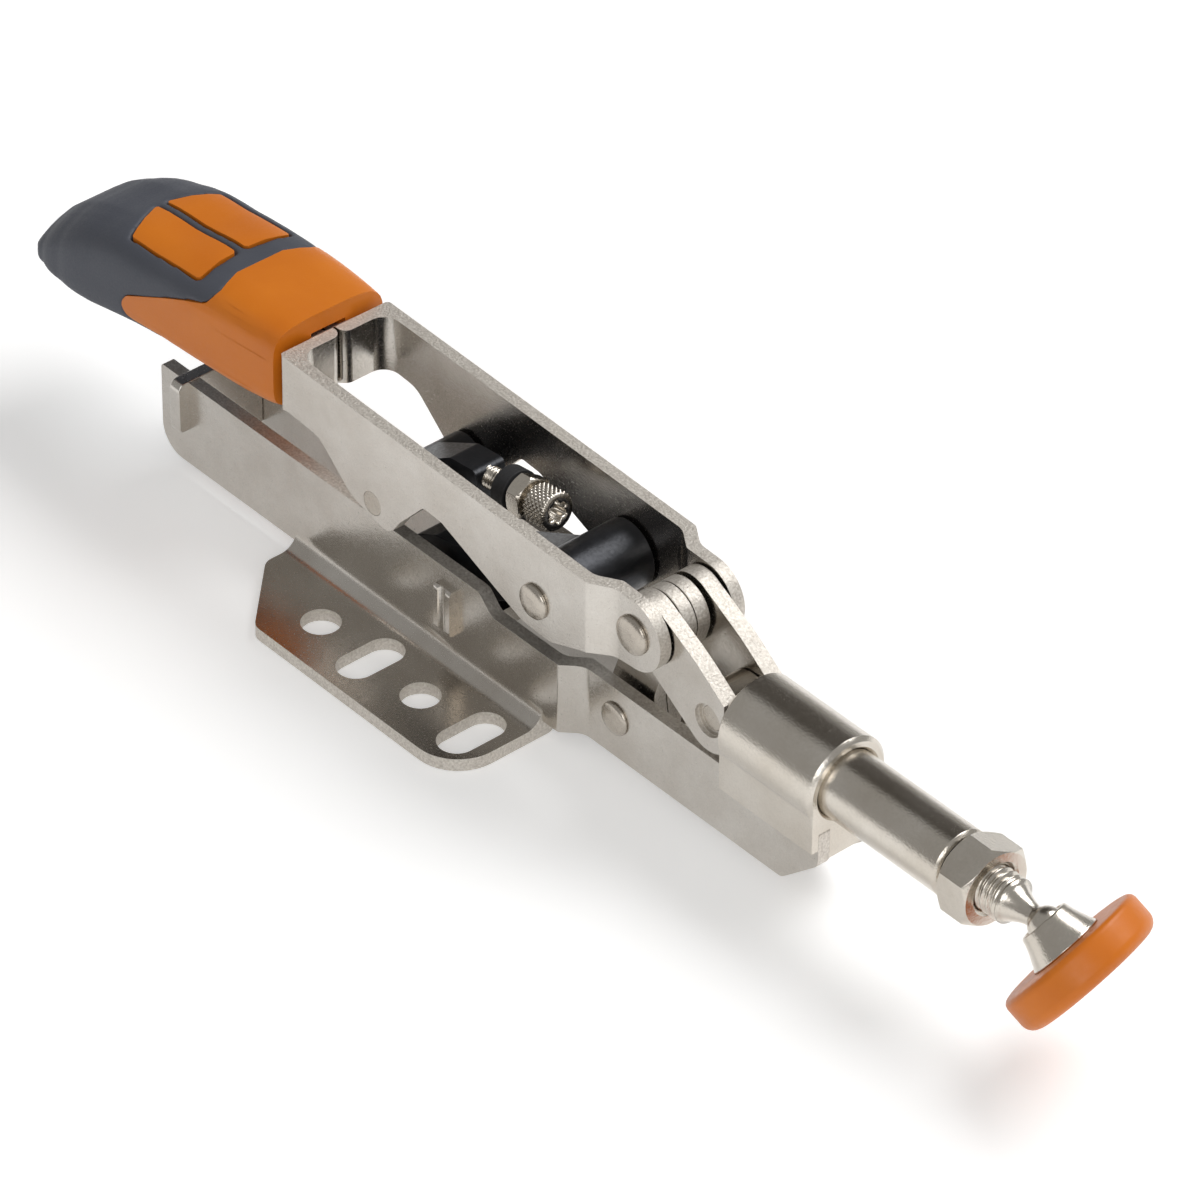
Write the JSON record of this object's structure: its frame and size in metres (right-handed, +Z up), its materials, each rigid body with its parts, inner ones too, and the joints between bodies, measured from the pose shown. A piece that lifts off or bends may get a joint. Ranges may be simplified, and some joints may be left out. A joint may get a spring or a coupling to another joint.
{
  "type": "toggle clamp",
  "caption": "Push-pull toggle clamp with a flanged sheet-metal base, guided plunger, swivelling rubber pressure pad, and a sheet-metal lever with a moulded handle.",
  "frame": {"origin": "centre of the rectangle of four round mounting holes, on the underside of the flanges", "axes": "+X along the plunger towards the pressure pad, +Y to the left of the clamp, +Z up from the mounting flanges"},
  "size_m": [0.261, 0.056, 0.0454],
  "materials": {
    "plate_steel": "satin, nickel plated",
    "bright_steel": "polished, nickel plated",
    "black_steel": "black oxide",
    "black_rubber": "matte",
    "orange_rubber": "satin",
    "orange_plastic": "satin",
    "slate_grip": "matte, soft touch"
  },
  "bodies": {
    "base": {"base_plate_left": "plate_steel", "base_plate_right": "plate_steel", "rear_cross_plate": "plate_steel", "front_cross_plate": "plate_steel", "guide_collar": "bright_steel", "base_rivet": "bright_steel", "strut_pin": "plate_steel"},
    "rocker": {"rocker_plate_left": "plate_steel", "rocker_plate_right": "plate_steel"},
    "lever": {"lever_arm_left": "plate_steel", "lever_arm_right": "plate_steel", "lever_pin": "bright_steel", "strut_rivet": "bright_steel", "carriage_pin": "plate_steel", "adjuster_carriage": "black_steel", "handle_core": "orange_plastic", "handle_grip": "slate_grip", "inlay_left": "orange_plastic", "inlay_right": "orange_plastic"},
    "links": {"link_left": "plate_steel", "link_right": "plate_steel", "plunger_pin": "plate_steel"},
    "strut": {"strut": "black_steel"},
    "plunger": {"plunger": "bright_steel", "seal_ring": "black_rubber"},
    "spindle": {"ball_spindle": "bright_steel"},
    "lock_nut": {"lock_nut": "bright_steel"},
    "pad": {"pad_cup": "bright_steel", "pad_cap": "orange_rubber"},
    "adjusting_screw": {"adjusting_screw": "bright_steel", "adjuster_ring": "black_rubber"},
    "adjuster_nut": {"adjuster_nut": "bright_steel"}
  },
  "joints": [
    {"name": "rocker_hinge", "type": "hinge", "parent": "base", "child": "rocker", "pos_m": [0.0456, 0, 0.0109], "axis": [0, 1, 0], "range_deg": [-42, 0]},
    {"name": "lever_hinge", "type": "hinge", "parent": "rocker", "child": "lever", "pos_m": [0.05289, 0, 0.03361], "axis": [0, 1, 0], "range_deg": [0, 92]},
    {"name": "link_hinge", "type": "hinge", "parent": "rocker", "child": "links", "pos_m": [0.05289, 0, 0.03361], "axis": [0, 1, 0], "range_deg": [0, 44]},
    {"name": "strut_hinge", "type": "hinge", "parent": "lever", "child": "strut", "pos_m": [0.03219, 0, 0.02941], "axis": [0, 1, 0], "range_deg": [-84, 0]},
    {"name": "plunger_slide", "type": "slide", "parent": "base", "child": "plunger", "axis": [1, 0, 0], "range_m": [-0.01745, 0]},
    {"name": "spindle_turn", "type": "hinge", "parent": "plunger", "child": "spindle", "pos_m": [0.1099, 0, 0.024], "axis": [1, 0, 0], "continuous": true},
    {"name": "lock_nut_turn", "type": "hinge", "parent": "plunger", "child": "lock_nut", "pos_m": [0.1239, 0, 0.024], "axis": [1, 0, 0], "continuous": true},
    {"name": "pad_tilt", "type": "hinge", "parent": "spindle", "child": "pad", "pos_m": [0.1385, 0, 0.024], "axis": [0, 0.9438, 0.3305], "range_deg": [-77, 0]},
    {"name": "adjusting_screw_turn", "type": "hinge", "parent": "lever", "child": "adjusting_screw", "pos_m": [0.00489, 0, 0.03421], "axis": [0.9903, 0, 0.1392], "continuous": true},
    {"name": "adjuster_nut_turn", "type": "hinge", "parent": "adjusting_screw", "child": "adjuster_nut", "pos_m": [0.00489, 0, 0.03421], "axis": [0.9903, 0, 0.1392], "continuous": true}
  ],
  "couplings": [
    {"joint": "lever_hinge", "follows": "rocker_hinge", "ratio": -2.19},
    {"joint": "link_hinge", "follows": "rocker_hinge", "ratio": -1.01},
    {"joint": "strut_hinge", "follows": "rocker_hinge", "ratio": 1.99},
    {"joint": "plunger_slide", "follows": "rocker_hinge", "m_per_rad": 0.0236}
  ]
}
